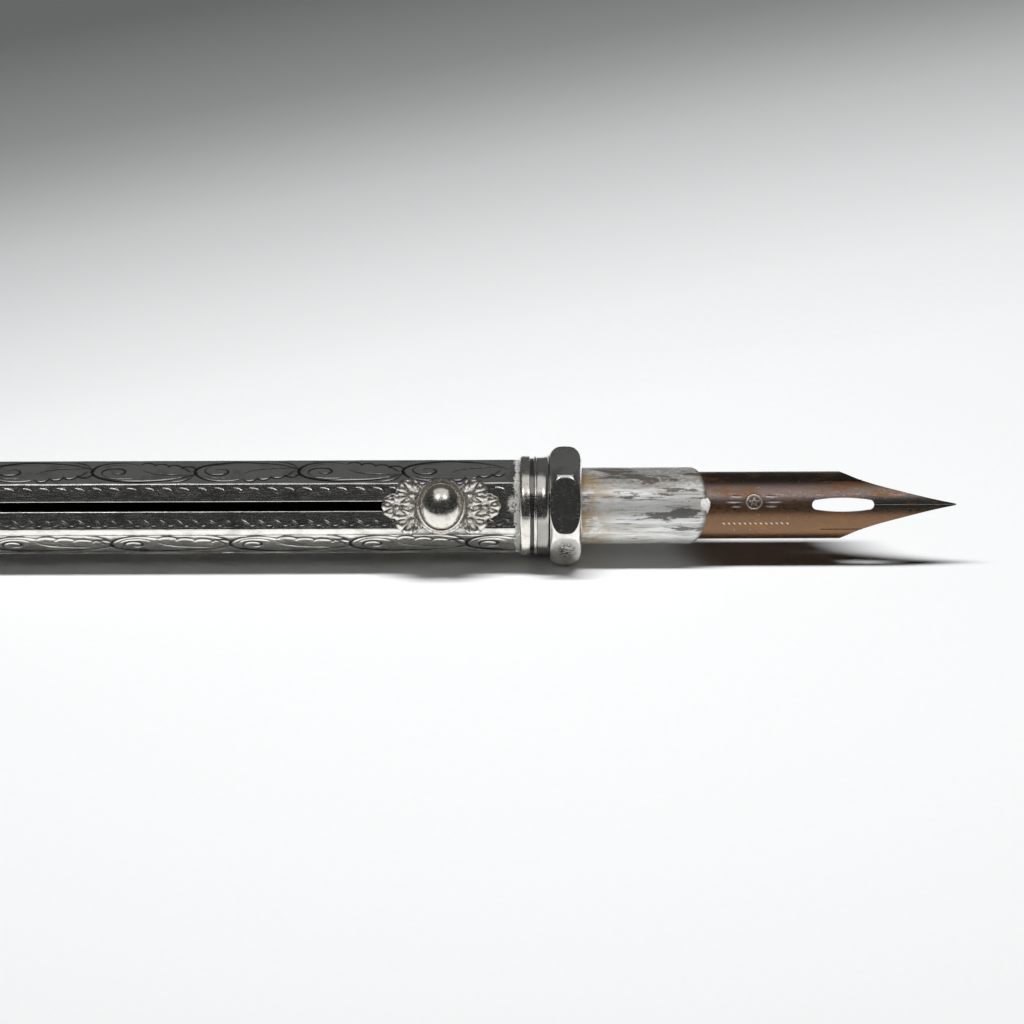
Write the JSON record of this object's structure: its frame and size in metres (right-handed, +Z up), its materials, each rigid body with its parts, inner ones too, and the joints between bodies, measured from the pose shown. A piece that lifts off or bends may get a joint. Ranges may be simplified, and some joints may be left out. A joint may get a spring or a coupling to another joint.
{
  "type": "dip pen holder",
  "caption": "Hexagonal engraved silver dip pen holder with a steel nib that slides out on a sleeve, pushed by a leaf-shaped thumb button in a long slot.",
  "frame": {"origin": "on the resting surface, below the middle of the pen's length with the nib out, under the pen's axis", "axes": "+X along the pen towards the nib, +Z up; the slotted flat faces -Y, tilted 30 degrees up"},
  "size_m": [0.104, 0.0103, 0.0087],
  "materials": {
    "engraved_silver": "engraved silver, tarnished dark in the cuts",
    "polished_silver": "polished silver with light handling wear",
    "chased_silver": "cast and chased silver",
    "worn_plate": "worn silver plate with grey and brassy stains",
    "tempered_nib_steel": "bronze-brown tempered steel",
    "spring_steel": "plain spring steel",
    "brass": "turned brass"
  },
  "bodies": {
    "barrel": {"barrel": "engraved_silver", "front_band": "polished_silver", "front_neck": "polished_silver", "front_bead": "polished_silver", "front_collar": "polished_silver", "front_guide_bush": "brass", "rear_band": "polished_silver", "rear_neck": "polished_silver", "rear_bead": "polished_silver", "rear_collar": "polished_silver", "rear_plug": "brass", "finial": "polished_silver", "finial_ball": "polished_silver"},
    "slide": {"carriage_tube": "worn_plate", "button_shank": "brass", "button_plate": "chased_silver", "button_bezel": "chased_silver", "button_dome": "polished_silver", "friction_spring": "spring_steel", "spring_rivet": "brass", "coupling_plug": "brass", "coupling_pins": "brass", "nib_sleeve": "worn_plate", "nib_core": "spring_steel"},
    "nib": {"nib": "tempered_nib_steel"}
  },
  "joints": [
    {"name": "slide_out", "type": "slide", "parent": "barrel", "child": "slide", "axis": [1, 0, 0], "range_m": [-0.04, 0]},
    {"name": "nib_pull", "type": "slide", "parent": "slide", "child": "nib", "axis": [1, 0, 0], "range_m": [0, 0.0155]}
  ]
}
